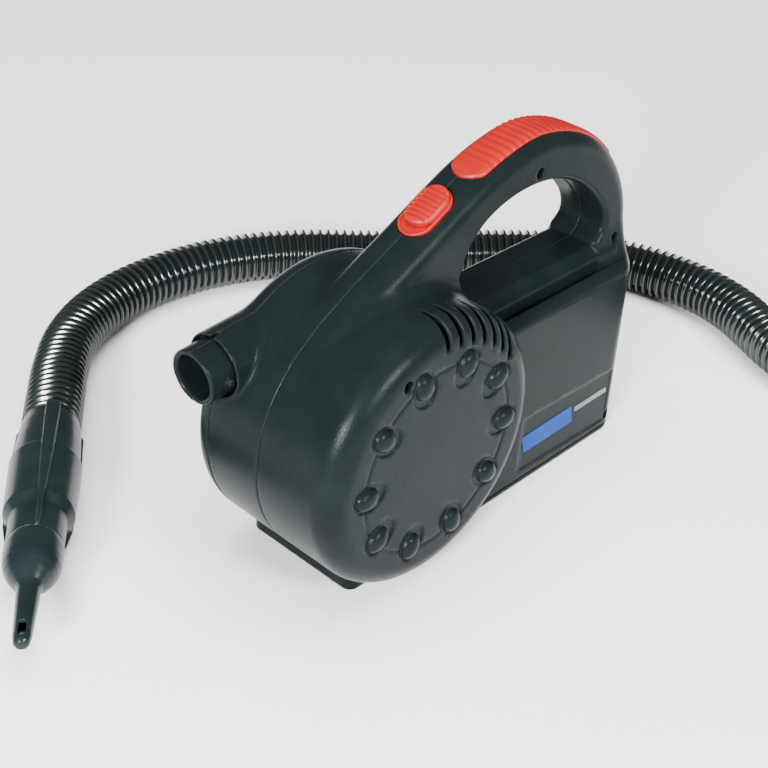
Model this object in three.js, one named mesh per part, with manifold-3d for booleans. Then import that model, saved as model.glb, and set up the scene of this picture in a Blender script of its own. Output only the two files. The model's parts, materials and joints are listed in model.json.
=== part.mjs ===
// Electric air mattress pump with its hose and nozzles, as separate named pieces.
// Millimetres, +Z up, +X towards the battery end, -Y towards the side with the round cover face.
// Origin: on the ground, below the fan axis and on the parting plane of the carrying handle.
import * as THREE from 'three';
import { mergeVertices } from 'three/addons/utils/BufferGeometryUtils.js';
import Module from 'manifold-3d';

const wasm = await Module();
wasm.setup();

// ---------------------------------------------------------------- driving dimensions
const GAP = 0.3;                 // clearance left between pieces that touch
const WALL = 2.5;                // moulded wall of the casing
const AXIS_Z = 82;               // height of the fan axis
const DRUM = { r: 78, y0: -51.4, y1: 51.4, fillet: 14 };
const SEAM_MID = 0;              // parting plane of the two handle halves
const SEAM_FAR = 37.1;           // parting plane of the far cover
const BOX = { x0: 8, x1: 200.5, half: 31.4, top: 119.5, corner: 16, foot: 15, edge: 7 };
const DECK = { x0: 20, x1: 176, half: 20, top: 126 };
const HANDLE = { half: 17, edge: 6, wall: 5 };
const BASE = { top: 3.7, x0: -38.6, x1: 7.6, y0: -31.4, y1: 45.6, corner: 6, lip: 16 };
const OUTLET = { x: -87.4, y: 37.1, z: 124.4, tilt: 4.4, bore: 11.9, tube: 15.4, collar: 18.4, step: 15 };
const INTAKE = { cup: 22, bore: 12, tube: 15.4, floor: 38.5 };
const SCREW = { head: 3, well: 3.4, shank: 1.5, pilot: 1.8, boss: 5 };
const MOTOR = { r: 24, y0: -34, y1: 11.7, plate: 1.5 };
const FAN = { r: 58, y0: 17, y1: 36, blades: 9, hub: 7, bore: 1.8, shaft: 1.5 };
const PARTITION = { y0: 12, y1: 14.5, r: 75.2 };
const BATTERY = { x0: 108, x1: 178, half: 23.5, z0: 5.5, z1: 103 };
const SWITCH = { x: 33.8, z: 190.2, slope: 27.5, length: 33.4, width: 20, travel: 5.2 };
const HOSE = { r: 17.5, wall: 1.3, spigot: 13.4, spigotBore: 12, spigotEnd: 44 };
const NOZZLE_AXIS_Z = 20.5;      // the stepped nozzle lies on its widest stage
const NOZZLE_TIP = new THREE.Vector3(-195.1, 37.2, NOZZLE_AXIS_Z);
const NOZZLE_BACK = new THREE.Vector3(-73.4, 180.1, NOZZLE_AXIS_Z);

// crest of the handle, from the drum over the grip and down to the battery end (x, z)
const CREST = [
  [-56, 136.5], [-38, 151.6], [-18, 163.8], [16, 181], [48, 197.4], [67, 206], [90, 213],
  [110, 215.2], [135, 210.6], [160, 199], [181, 181], [195, 159], [201, 136], [200.5, 112],
];
// finger opening below the grip (x, z)
const FINGER_HOLE = [
  [56, 132], [49.5, 141], [48.5, 156], [54, 170], [65, 180], [81, 186.3], [98, 188.6], [114, 187.8],
  [130, 183.8], [148, 174.5], [164, 160.5], [172.5, 149], [174, 139], [168, 132],
];
const GRIP_SPAN = [57, 178];     // x range of the soft grip along the crest

const PALETTE = {
  casing: { color: 0x3a4548, roughness: 0.45, metalness: 0 },
  accent: { color: 0xd9483f, roughness: 0.5, metalness: 0 },
  hose: { color: 0x15191a, roughness: 0.35, metalness: 0 },
  nozzle: { color: 0x3b4749, roughness: 0.4, metalness: 0 },
  steel: { color: 0xb4b7ba, roughness: 0.35, metalness: 1 },
  magnet: { color: 0x3a3a3c, roughness: 0.7, metalness: 0.2 },
  fan: { color: 0x2b2e31, roughness: 0.5, metalness: 0 },
  battery: { color: 0x3b3f45, roughness: 0.6, metalness: 0 },
  lead: { color: 0x6d6f73, roughness: 0.6, metalness: 1 },
  brass: { color: 0xc9a24b, roughness: 0.3, metalness: 1 },
  wireRed: { color: 0xb02020, roughness: 0.5, metalness: 0 },
  wireBlack: { color: 0x16171a, roughness: 0.5, metalness: 0 },
  foam: { color: 0x242426, roughness: 0.95, metalness: 0 },
};

// ---------------------------------------------------------------- geometry helpers
const v2 = (x, y) => new THREE.Vector2(x, y);
const v3 = (x, y, z) => new THREE.Vector3(x, y, z);
const sum = (solids) => solids.reduce((a, b) => a.add(b));

function toSolid(geometry) {
  const bare = geometry.clone();
  bare.deleteAttribute('normal');
  bare.deleteAttribute('uv');
  const merged = mergeVertices(bare, 1e-4);
  const p = merged.attributes.position.array;
  const raw = merged.index.array;
  const corner = (i) => v3(p[3 * i], p[3 * i + 1], p[3 * i + 2]);
  const kept = [];
  let volume = 0;
  for (let i = 0; i < raw.length; i += 3) {
    const [a, b, c] = [raw[i], raw[i + 1], raw[i + 2]];
    if (a === b || b === c || c === a) continue;
    kept.push([a, b, c]);
    volume += corner(a).dot(corner(b).cross(corner(c)));
  }
  const order = volume < 0 ? kept.map(([a, b, c]) => [a, c, b]) : kept;
  return new wasm.Manifold(new wasm.Mesh({
    numProp: 3,
    vertProperties: new Float32Array(p),
    triVerts: new Uint32Array(order.flat()),
  }));
}

function toGeometry(solid) {
  const mesh = solid.getMesh();
  const geometry = new THREE.BufferGeometry();
  const positions = [];
  for (let i = 0; i < mesh.numVert; i += 1) {
    const k = i * mesh.numProp;
    positions.push(mesh.vertProperties[k], mesh.vertProperties[k + 1], mesh.vertProperties[k + 2]);
  }
  geometry.setAttribute('position', new THREE.Float32BufferAttribute(positions, 3));
  geometry.setIndex(Array.from(mesh.triVerts));
  geometry.computeVertexNormals();
  return geometry;
}

// holes are only turned the right way round when the outline itself runs anticlockwise
function shapeOf(outline, holes = []) {
  const corners = outline.map(([a, b]) => v2(a, b));
  const shape = new THREE.Shape(THREE.ShapeUtils.isClockWise(corners) ? corners.reverse() : corners);
  holes.forEach((hole) => shape.holes.push(new THREE.Path(hole.map(([a, b]) => v2(a, b)))));
  return shape;
}

// outline in the XZ plane, drawn out along Y, its long edges rounded by `edge`
function slabY(outline, y0, y1, edge = 0, holes = []) {
  const geometry = new THREE.ExtrudeGeometry(shapeOf(outline, holes), {
    depth: y1 - y0 - 2 * edge,
    bevelEnabled: edge > 0,
    bevelThickness: edge,
    bevelSize: edge,
    bevelOffset: -edge,
    bevelSegments: 2,
  });
  geometry.rotateX(Math.PI / 2);
  geometry.translate(0, y1 - edge, 0);
  return toSolid(geometry);
}

// outline in the XY plane, drawn out along Z, its top edge rounded by `edge`
function slabZ(outline, z0, z1, edge = 0) {
  const spare = edge > 0 ? 40 : 0;
  const geometry = new THREE.ExtrudeGeometry(shapeOf(outline), {
    depth: z1 - z0 + spare - 2 * edge,
    bevelEnabled: edge > 0,
    bevelThickness: edge,
    bevelSize: edge,
    bevelOffset: -edge,
    bevelSegments: 2,
  });
  geometry.translate(0, 0, z0 - spare + edge);
  const solid = toSolid(geometry);
  return spare > 0 ? solid.intersect(block([-400, 400], [-400, 400], [z0, z1 + 1])) : solid;
}

function block([x0, x1], [y0, y1], [z0, z1]) {
  const geometry = new THREE.BoxGeometry(x1 - x0, y1 - y0, z1 - z0);
  geometry.translate((x0 + x1) / 2, (y0 + y1) / 2, (z0 + z1) / 2);
  return toSolid(geometry);
}

function rod(radius, from, to, sides = 16, endRadius = radius) {
  const along = to.clone().sub(from);
  const geometry = new THREE.CylinderGeometry(endRadius, radius, along.length(), sides);
  geometry.applyQuaternion(new THREE.Quaternion().setFromUnitVectors(v3(0, 1, 0), along.clone().normalize()));
  const middle = from.clone().add(to).multiplyScalar(0.5);
  geometry.translate(middle.x, middle.y, middle.z);
  return toSolid(geometry);
}

const rodY = (radius, x, z, y0, y1, sides = 12) => rod(radius, v3(x, y0, z), v3(x, y1, z), sides);
const ringY = (outer, inner, y0, y1, sides = 32) => rodY(outer, 0, AXIS_Z, y0, y1, sides)
  .subtract(rodY(inner, 0, AXIS_Z, y0 - 1, y1 + 1, sides));

// closed profile of [radius, along] points turned about the fan axis
function turned(profile, sides = 40) {
  const geometry = new THREE.LatheGeometry(profile.map(([r, y]) => v2(r, y)), sides);
  geometry.translate(0, 0, AXIS_Z);
  return toSolid(geometry);
}

function arc(cx, cy, r, from, to, steps) {
  const points = [];
  for (let i = 0; i <= steps; i += 1) {
    const a = THREE.MathUtils.degToRad(from + (to - from) * (i / steps));
    points.push([cx + r * Math.cos(a), cy + r * Math.sin(a)]);
  }
  return points;
}

function splinePoints(points, count, closed = false) {
  const curve = new THREE.CatmullRomCurve3(points.map(([a, b]) => v3(a, b, 0)), closed, 'centripetal');
  const found = curve.getPoints(count).map((q) => [q.x, q.y]);
  return closed ? found.slice(0, -1) : found;
}

// every point moved by `distance` to the left of the walking direction
function shifted(points, distance, closed = false) {
  const last = points.length - 1;
  return points.map((point, i) => {
    const before = points[i === 0 ? (closed ? last : 0) : i - 1];
    const after = points[i === last ? (closed ? 0 : last) : i + 1];
    const [dx, dy] = [after[0] - before[0], after[1] - before[1]];
    const size = Math.hypot(dx, dy);
    return [point[0] - (dy / size) * distance, point[1] + (dx / size) * distance];
  });
}

function stadium(length, width, steps = 6) {
  const r = width / 2;
  const reach = length / 2 - r;
  return [...arc(reach, 0, r, -90, 90, steps), ...arc(-reach, 0, r, 90, 270, steps)];
}

function roundedDrum(inset, steps) {
  const r = DRUM.r - inset;
  const f = DRUM.fillet - inset;
  const [y0, y1] = [DRUM.y0 + inset, DRUM.y1 - inset];
  return turned([[0, y0], ...arc(r - f, y0 + f, f, -90, 0, steps), ...arc(r - f, y1 - f, f, 0, 90, steps), [0, y1]]);
}

const near = (solid) => solid.intersect(block([-400, 400], [-400, SEAM_MID - GAP / 2], [-9, 400]));
const middle = (solid) => solid.intersect(
  block([-400, 400], [SEAM_MID + GAP / 2, SEAM_FAR - GAP / 2], [-9, 400]));
const farther = (solid) => solid.intersect(block([-400, 400], [SEAM_FAR + GAP / 2, 400], [-9, 400]));
const onAxis = (radius, y0, y1, sides) => rodY(radius, 0, AXIS_Z, y0, y1, sides);

// ---------------------------------------------------------------- casing volumes
const crestLine = splinePoints(CREST, 20);
const holeLine = splinePoints(FINGER_HOLE, 18);

function handleVolume(inPlane, across) {
  const crest = shifted(crestLine, -inPlane);
  const outline = [...crest, [crest.at(-1)[0], 100], [-50, 100]];
  const opening = shifted(holeLine, inPlane);
  const floor = FINGER_HOLE[0][1] - inPlane;
  const hole = opening.filter(([, z]) => z > floor);
  const half = HANDLE.half - across;
  return slabY(outline, -half, half, across > 0 ? 0 : HANDLE.edge, [[...hole, [169, floor], [55, floor]]]);
}

function boxVolume(inset, top) {
  const half = BOX.half - inset;
  const rear = BOX.x1 - inset;
  const r = BOX.corner - inset;
  const plan = [
    [BOX.x0 + inset, -half], ...arc(rear - r, -half + r, r, -90, 0, 4),
    ...arc(rear - r, half - r, r, 0, 90, 4), [BOX.x0 + inset, half],
  ];
  const foot = BOX.foot - inset;
  const side = [
    [-60, 0], ...arc(rear - foot, foot, foot, -90, 0, 4),
    ...arc(rear - r, top - r, r, 0, 90, 4), [-60, top],
  ];
  return slabZ(plan, 0, top, inset > 0 ? 0 : BOX.edge).intersect(slabY(side, -60, 60));
}

function deckVolume(inset) {
  const half = DECK.half - inset;
  return block([DECK.x0, DECK.x1], [-half, half], [100, DECK.top - inset]);
}

const outletTilt = THREE.MathUtils.degToRad(OUTLET.tilt);
// point on the outlet's axis, `s` mm in from its mouth
const onOutlet = (s) => v3(
  OUTLET.x + s * Math.cos(outletTilt), OUTLET.y, OUTLET.z + s * Math.sin(outletTilt));

const drumCore = onAxis(DRUM.r, DRUM.y0 - 1, DRUM.y1 + 1, 40);
const aboveGround = block([-400, 400], [-400, 400], [BASE.top + GAP, 400]);

const outside = sum([
  roundedDrum(0, 4),
  handleVolume(0, 0),
  boxVolume(0, BOX.top),
  deckVolume(0),
  rod(OUTLET.collar, onOutlet(OUTLET.step), onOutlet(60), 24),
  rod(OUTLET.tube, onOutlet(0), onOutlet(60), 24),
]).intersect(aboveGround);

const inside = sum([
  handleVolume(HANDLE.wall, WALL),
  boxVolume(WALL, BOX.top - 10),
  deckVolume(WALL),
]).subtract(drumCore).add(roundedDrum(WALL, 2));

const screwsNear = [[105.5, 195.2], [185.3, 130.5], [-27.7, 137.2], [189, 10.5]];
const websNear = [-90, 0, 116.6, 0];   // direction of the rib that ties each screw post to the wall
const websFar = [20, 100, 200, 290];
const screwsFar = websFar.map((deg) => {
  const a = THREE.MathUtils.degToRad(deg);
  return [68 * Math.cos(a), AXIS_Z + 68 * Math.sin(a)];
});
const screwsBase = [[-15, -22], [-15, 22], [92, -22], [92, 22]];
const NEAR_HEAD = -14;           // y of the screw heads' tops in the near shell
const FAR_HEAD = 46;
const BASE_HEAD = 0.4;

// thin rib from a screw post out to the wall
function web(x, z, deg, reach, y0, y1) {
  const rib = new THREE.BoxGeometry(reach, y1 - y0, 2);
  rib.translate(reach / 2, 0, 0);
  rib.rotateY(-THREE.MathUtils.degToRad(deg));
  rib.translate(x, (y0 + y1) / 2, z);
  return toSolid(rib);
}

const bosses = sum([
  ...screwsNear.map(([x, z], i) => web(x, z, websNear[i], 14.5, NEAR_HEAD - 3, 11)),
  ...screwsFar.map(([x, z], i) => web(x, z, websFar[i], 9, 22, 46)),
  ...screwsBase.slice(2).map(([x, y]) => block([x - 1, x + 1], [Math.min(y, y * 1.36), Math.max(y, y * 1.36)], [4, 13])),
  ...screwsNear.map(([x, z]) => rodY(SCREW.boss, x, z, DRUM.y0, 11.4)),
  ...screwsFar.map(([x, z]) => rodY(SCREW.boss - 0.5, x, z, 20, DRUM.y1)),
  ...screwsBase.map(([x, y]) => rod(SCREW.boss - 0.5, v3(x, y, 2), v3(x, y, 14))),
]).intersect(outside);

function pocketForGrip() {
  const line = crestLine.filter(([x], i) => x > GRIP_SPAN[0] - 6 && x < GRIP_SPAN[1] + 8 && i > 4);
  const band = [...shifted(line, 6), ...shifted(line, -2.2).reverse()];
  const slab = slabY(band, -11.3, 11.3);
  return slab.intersect(block([GRIP_SPAN[0] - GAP, GRIP_SPAN[1] + GAP], [-20, 20], [150, 240]));
}

// solid drawn in the switch's own axes: x up the slope, y across, z out of the handle
function inSwitchFrame(solid) {
  return solid.rotate([0, -SWITCH.slope, 0]).translate([SWITCH.x, 0, SWITCH.z]);
}

const vents = [];
for (let k = 0; k < 7; k += 1) {
  const a = THREE.MathUtils.degToRad(8.8 * k);
  const [x, z] = [63.6 * Math.sin(a), AXIS_Z + 63.6 * Math.cos(a)];
  vents.push(block([x - 1.4, x + 1.4], [-60, -31], [z, z + 40]));
}
const ventBand = onAxis(90, -60, -20, 12).subtract(boxVolume(0, 200));

const wellsAndPilots = sum([
  ...screwsNear.map(([x, z]) => rodY(SCREW.well, x, z, -60, NEAR_HEAD + 2.8)),
  ...screwsNear.map(([x, z]) => rodY(SCREW.pilot, x, z, -20, 10)),
  ...screwsFar.map(([x, z]) => rodY(SCREW.well, x, z, FAR_HEAD - 2.8, 60)),
  ...screwsFar.map(([x, z]) => rodY(SCREW.pilot, x, z, 22, 50)),
  ...screwsBase.map(([x, y]) => rod(SCREW.pilot, v3(x, y, 0), v3(x, y, 12.5))),
]);

const wirePasses = sum([
  rod(7, v3(2.5, -8.4, 148), v3(2.5, -8.4, 166)),
  rod(6, v3(66, -8, 102), v3(86, -8, 102)),
]);

const rails = sum([-1, 1].map((side) => block(
  [58, 188], [side * 22.4 - 2, side * 22.4 + 2], [BOX.top - 7, BOX.top + 4])));

const bore = rod(OUTLET.bore, onOutlet(-1), onOutlet(46), 24);
const collarGroove = rod(OUTLET.tube + 1.6, onOutlet(OUTLET.step - 1), onOutlet(OUTLET.step + 7), 24)
  .subtract(rod(OUTLET.tube, onOutlet(OUTLET.step - 2), onOutlet(OUTLET.step + 8), 24));
const pins = sum([-1, 1].map((side) => rod(
  1.8, onOutlet(11).add(v3(0, side * 13, 0)), onOutlet(11).add(v3(0, side * 17.4, 0)), 10)));

const intakeCup = onAxis(INTAKE.cup, INTAKE.floor + 2, 60, 24)
  .subtract(onAxis(INTAKE.tube, INTAKE.floor, DRUM.y1 - 0.4, 24));
const intakeWall = onAxis(INTAKE.cup + 2, INTAKE.floor, DRUM.y1, 24);
const intakeBars = sum([0, 60, 120].map((deg) => {
  const a = THREE.MathUtils.degToRad(deg);
  const arm = v3(Math.cos(a), 0, Math.sin(a)).multiplyScalar(INTAKE.bore + 1);
  const centre = v3(0, INTAKE.floor + 1.2, AXIS_Z);
  return rod(1, centre.clone().sub(arm), centre.clone().add(arm), 8);
}));

const hollowed = outside.subtract(inside).add(bosses).add(pins)
  .subtract(bore)
  .subtract(collarGroove)
  .subtract(rails)
  .subtract(wellsAndPilots)
  .subtract(wirePasses)
  .subtract(pocketForGrip());

function nearShell() {
  const face = hollowed.subtract(sum(vents).intersect(ventBand));
  const switchHole = inSwitchFrame(slabZ(stadium(SWITCH.length + 0.6, SWITCH.width + 0.6), -12, 8));
  const domes = [];
  for (let k = 0; k < 10; k += 1) {
    const dome = new THREE.SphereGeometry(1, 10, 6);
    dome.scale(10.5, 3.2, 7.6);
    dome.translate(50, DRUM.y0, 0);
    dome.rotateY(THREE.MathUtils.degToRad(36 * k));
    dome.translate(0, 0, AXIS_Z);
    domes.push(toSolid(dome));
  }
  const proud = sum(domes).intersect(block([-90, 90], [-70, DRUM.y0 + 1.5], [0, 200]));
  return near(face.add(proud).subtract(switchHole));
}

function middleShell() {
  const switchHole = inSwitchFrame(slabZ(stadium(SWITCH.length + 0.6, SWITCH.width + 0.6), -12, 8));
  const socketHole = rod(5.8, v3(190, 8, 26), v3(210, 8, 26));
  return middle(hollowed.subtract(switchHole).subtract(socketHole));
}

function farCover() {
  return farther(hollowed.add(intakeWall).subtract(intakeCup).subtract(onAxis(INTAKE.bore, 30, 60, 24))
    .add(intakeBars));
}

function basePlate() {
  const r = BASE.corner;
  const cradlePlan = [
    [BASE.x1, BASE.y1], ...arc(BASE.x0 + r, BASE.y1 - r, r, 90, 180, 4),
    ...arc(BASE.x0 + r, BASE.y0 + r, r, 180, 270, 4), [BASE.x1, BASE.y0],
  ];
  const hollow = block(
    [BASE.x0 + WALL, BASE.x1 - WALL], [BASE.y0 + WALL, BASE.y1 - WALL], [WALL, 40]);
  const cradle = slabZ(cradlePlan, 0, BASE.lip).subtract(hollow)
    .subtract(onAxis(DRUM.r + GAP, DRUM.y0, DRUM.y1, 40));
  const plate = boxVolume(0, BOX.top).intersect(block([BASE.x1, 400], [-60, 60], [0, BASE.top]))
    .add(block([BASE.x1 - 2, BASE.x1 + 20], [-BOX.half, BOX.half], [0, BASE.top]));
  const screwHoles = screwsBase.flatMap(([x, y]) => [
    rod(SCREW.well, v3(x, y, -1), v3(x, y, BASE_HEAD + 1.6)),
    rod(SCREW.pilot, v3(x, y, -1), v3(x, y, 20)),
  ]);
  const seats = screwsBase.slice(0, 2).map(([x, y]) => rod(SCREW.boss, v3(x, y, 0), v3(x, y, BASE.top)));
  return sum([cradle, plate, ...seats]).subtract(sum(screwHoles));
}

function gripInsert() {
  const line = crestLine.filter(([x], i) => x > GRIP_SPAN[0] - 6 && x < GRIP_SPAN[1] + 8 && i > 4);
  const band = [...shifted(line, 0.8), ...shifted(line, -1.9).reverse()];
  return slabY(band, -11, 11, 0.6).intersect(block(GRIP_SPAN, [-20, 20], [150, 240]));
}

// ---------------------------------------------------------------- switch
function switchBezel() {
  const plate = slabZ(stadium(SWITCH.length, SWITCH.width), -3.2, -0.4);
  return inSwitchFrame(plate.subtract(slabZ(stadium(17, 7), -5, 2)));
}

function switchSlider() {
  const cap = slabZ(stadium(26.5, 17.5), -0.1, 4.2, 1.2);
  const stem = block([-3, 3], [-2.5, 2.5], [-9, 1]);
  return inSwitchFrame(cap.add(stem).translate([SWITCH.travel / 2, 0, 0]));
}

function switchBody() {
  const body = block([-13, 13], [-5, 5], [-20, -7]);
  const tabs = sum([-6, 0, 6].map((x) => block([x - 0.4, x + 0.4], [-2, 2], [-23, -19])));
  return inSwitchFrame(body.subtract(block([-8, 8], [-3, 3], [-12, -6])).add(tabs));
}

// ---------------------------------------------------------------- motor and fan
function motorCan() {
  const { r, y0, y1, plate } = MOTOR;
  const shell = onAxis(r, y0, y1, 28).subtract(onAxis(r - plate, y0 - 1, y1 - plate, 28));
  const holes = sum([-15, 15].map((x) => rodY(SCREW.pilot, x, AXIS_Z, 5, 20)));
  return shell.subtract(holes).subtract(onAxis(FAN.bore + 0.4, -40, 20, 20));
}

function motorEndCap() {
  const { r, y0 } = MOTOR;
  const disc = onAxis(r, y0 - 3.3, y0 - GAP, 28);
  const brushes = sum([-1, 1].map((side) => block(
    [side * 13 - 4, side * 13 + 4], [y0 - 3.3, y0 + 4], [AXIS_Z - 3, AXIS_Z + 3])));
  return disc.add(brushes).subtract(onAxis(FAN.bore, -60, 20, 20));
}

function magnet(side) {
  const ring = ringY(MOTOR.r - MOTOR.plate - GAP, 18, -22, 3, 28);
  const wedge = block([-16, 16], [-40, 40], side > 0 ? [AXIS_Z + 6, AXIS_Z + 40] : [AXIS_Z - 40, AXIS_Z - 6]);
  return ring.intersect(wedge);
}

function armature() {
  const core = onAxis(15, -24, 4, 20).subtract(sum([0, 72, 144, 216, 288].map((deg) => {
    const a = THREE.MathUtils.degToRad(deg);
    return rodY(3, 13 * Math.cos(a), AXIS_Z + 13 * Math.sin(a), -30, 10, 8);
  })));
  return core.add(onAxis(6, -31, -23, 24)).subtract(onAxis(FAN.bore, -60, 40, 20));
}

const motorShaft = () => onAxis(FAN.shaft, -36.2, 34, 16);

function impeller() {
  const { r, y0, y1, blades, hub } = FAN;
  const wheel = [onAxis(r, y0, y0 + 2, 32), onAxis(hub, y0, y1 - 2, 16), ringY(r, 20, y1 - 1.6, y1, 32)];
  for (let k = 0; k < blades; k += 1) {
    const blade = new THREE.BoxGeometry(38, y1 - y0 - 1, 1.8);
    blade.rotateY(THREE.MathUtils.degToRad(-32));
    blade.translate(37, (y0 + y1) / 2, 6);
    blade.rotateY(THREE.MathUtils.degToRad((360 / blades) * k));
    blade.translate(0, 0, AXIS_Z);
    wheel.push(toSolid(blade).intersect(onAxis(r, y0, y1, 32)));
  }
  return sum(wheel).subtract(onAxis(FAN.bore, -10, 60, 20));
}

function motorMount() {
  const disc = onAxis(PARTITION.r, PARTITION.y0, PARTITION.y1, 40);
  const collar = ringY(MOTOR.r + 3, MOTOR.r + GAP, PARTITION.y0 - 10, PARTITION.y0 + 0.5, 28);
  const holes = sum([-15, 15].map((x) => rodY(SCREW.pilot, x, AXIS_Z, 5, 20)));
  return disc.add(collar).subtract(holes).subtract(onAxis(4, 0, 30, 20));
}

function screw(from, head, tip, headRadius = SCREW.head, shankRadius = SCREW.shank) {
  const along = tip.clone().sub(from).normalize();
  const neck = from.clone().addScaledVector(along, head);
  return rod(headRadius, from, neck, 8)
    .add(rod(shankRadius, neck.clone().addScaledVector(along, -0.5), tip, 6));
}

// ---------------------------------------------------------------- power
const cellStart = (k) => BATTERY.x0 + WALL + k * 22.35;

function batteryCase() {
  const { x0, x1, half, z0, z1 } = BATTERY;
  const wells = [0, 1, 2].map((k) => block(
    [cellStart(k), cellStart(k) + 20.3], [-half + WALL, half - WALL], [z0 + WALL, z1]));
  return block([x0, x1], [-half, half], [z0, z1 - 4]).subtract(sum(wells));
}

function batteryLid() {
  const { x0, x1, half, z1 } = BATTERY;
  return block([x0, x1], [-half, half], [z1 - 4 + GAP, z1 - 2])
    .add(block([x0 + 3, x1 - 3], [-half + 3, half - 3], [z1 - 3, z1]));
}

// four lead plates hanging from a strap
function batteryCell(k) {
  const x = cellStart(k) + 1.3;
  const plates = [0, 1, 2, 3].map((i) => block([x + i * 5.2, x + i * 5.2 + 2], [-19, 19], [10, 90]));
  return sum(plates).add(block([x, x + 17.6], [-4, 4], [88, 93]));
}

const batteryPad = () => block([BATTERY.x0 + 4, BATTERY.x1 - 4], [-20, 20], [BASE.top + GAP, BATTERY.z0 - GAP]);

function terminal(y) {
  const { z1 } = BATTERY;
  return block([112, 121], [y - 3, y + 3], [z1 + GAP, z1 + 1.2])
    .add(block([112, 113], [y - 3, y + 3], [z1 + GAP, z1 + 5.5]));
}

function chargeSocket() {
  const barrel = rod(5.5, v3(187, 8, 26), v3(BOX.x1 - 0.2, 8, 26));
  return barrel.subtract(rod(3, v3(190, 8, 26), v3(210, 8, 26), 20)).add(rod(1, v3(189, 8, 26), v3(198, 8, 26), 10));
}

function sweep(points, radius, sides, steps) {
  const curve = new THREE.CatmullRomCurve3(points.map((q) => v3(...q)), false, 'centripetal');
  const section = new THREE.Shape(arc(0, 0, radius, 0, 360 - 360 / sides, sides - 1).map(([a, b]) => v2(a, b)));
  return toSolid(new THREE.ExtrudeGeometry(section, { steps, bevelEnabled: false, extrudePath: curve }));
}

const WIRES = {
  lead_battery_to_switch: [
    [111.5, 14, 107], [104, 12, 107], [92, 2, 105], [84, -5, 102.5], [70, -5, 103], [50, -6, 120],
    [28, -7, 136], [9, -8, 147], [6.5, -8, 158], [14, -8, 165], [29, -5, 163.5], [38.5, -3.6, 166.8],
  ],
  lead_battery_to_motor: [
    [111.5, -14, 107], [104, -13, 107], [92, -11, 104], [84, -11, 102], [70, -12, 101], [52, -24, 98],
    [32, -38, 92], [18, -42, 86], [13, -40, 82],
  ],
  lead_switch_to_motor: [
    [44, 3.6, 169.8], [37, 4, 164.5], [24, 4, 162], [10, 3, 163], [1, -3, 162.8], [-1.3, -8, 158],
    [-5, -12, 146], [-12, -24, 124],
    [-17, -38, 104], [-15, -42, 90], [-13, -40, 82],
  ],
};
const wire = (points) => sweep(points, 1.1, 6, 24);

// ---------------------------------------------------------------- hose and nozzles
const nozzleAxis = NOZZLE_TIP.clone().sub(NOZZLE_BACK).normalize();
const onNozzle = (s) => NOZZLE_BACK.clone().addScaledVector(nozzleAxis, s);

// profile of [radius, along] pairs turned about the nozzle's own axis
function nozzleTurned(profile, sides = 20) {
  const geometry = new THREE.LatheGeometry(profile.map(([r, s]) => v2(r, s)), sides);
  geometry.applyQuaternion(new THREE.Quaternion().setFromUnitVectors(v3(0, 1, 0), nozzleAxis));
  geometry.translate(NOZZLE_BACK.x, NOZZLE_BACK.y, NOZZLE_BACK.z);
  return toSolid(geometry);
}

function steppedNozzle() {
  const outer = nozzleTurned([
    [0, 12], [17, 12], [18.6, 30], [19.1, 52], [20.2, 52.5], [19, 94], [15.6, 99], [15.2, 119],
    [12.2, 119], [12, 131], [0, 131],
  ]);
  const inner = nozzleTurned([[0, 10], [14, 10], [14, 90], [10, 96], [9.5, 133], [0, 133]]);
  const ribs = [0, 120, 240].map((deg) => {
    const rib = new THREE.BoxGeometry(4.5, 106, 3);
    rib.translate(0, 12.3 + 53, 19.6);
    rib.rotateY(THREE.MathUtils.degToRad(deg));
    rib.applyQuaternion(new THREE.Quaternion().setFromUnitVectors(v3(0, 1, 0), nozzleAxis));
    rib.translate(NOZZLE_BACK.x, NOZZLE_BACK.y, NOZZLE_BACK.z);
    return toSolid(rib).intersect(nozzleTurned([[0, 12], [21, 12], [21, 60], [15.6, 118], [0, 118]]));
  });
  return sum([outer, ...ribs]).subtract(inner);
}

function tipAdapter() {
  const outer = nozzleTurned([
    [0, 119.3], [15.4, 119.3], [15.7, 123], [15.4, 133], [13.8, 140], [10.5, 146], [6.6, 150],
    [6.2, 152], [4.7, 188], [3.6, 191], [0, 192],
  ]);
  const inner = nozzleTurned([[0, 118], [12.6, 118], [12.6, 132], [3.8, 144], [3, 150], [2.6, 186], [0, 186]]);
  const slot = rod(2, onNozzle(180.5).add(v3(0, 0, -12)), onNozzle(180.5).add(v3(0, 0, 12)), 10)
    .add(rod(2, onNozzle(186).add(v3(0, 0, -12)), onNozzle(186).add(v3(0, 0, 12)), 10));
  return outer.subtract(inner).subtract(slot);
}

const HOSE_ROUTE = [
  [-58.5, 197.6, 19.6], [-41.5, 217.3, 18.2], [-14.9, 242.2, 17.7], [17.5, 259.5, 17.7], [57, 267.5, 17.7],
  [107.6, 263.3, 17.7], [150.6, 247.5, 17.7], [181, 228, 17.7], [213, 199.5, 17.7], [250, 168, 17.7],
  [290, 136, 17.7], [325, 102, 17.7], [346, 67, 17.7], [354.5, 35, 17.7], [356, 5, 17.7],
  [350.5, -22, 17.7], [341, -44, 17.7], [331, -65, 17.7], [322.5, -92, 17.7], [319, -120, 17.7],
  [321.5, -149, 17.7], [330, -177, 17.7], [344, -202.5, 18], [363, -224.5, 18.8], [386, -242, 19.6],
  [412, -254.3, 20.1], [438, -260.8, 20.3], [452, -261.5, 20.3], [464, -261.5, 20.3],
];
const hoseEnd = v3(...HOSE_ROUTE.at(-1));
const hoseBeforeEnd = v3(...HOSE_ROUTE.at(-2));

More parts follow.
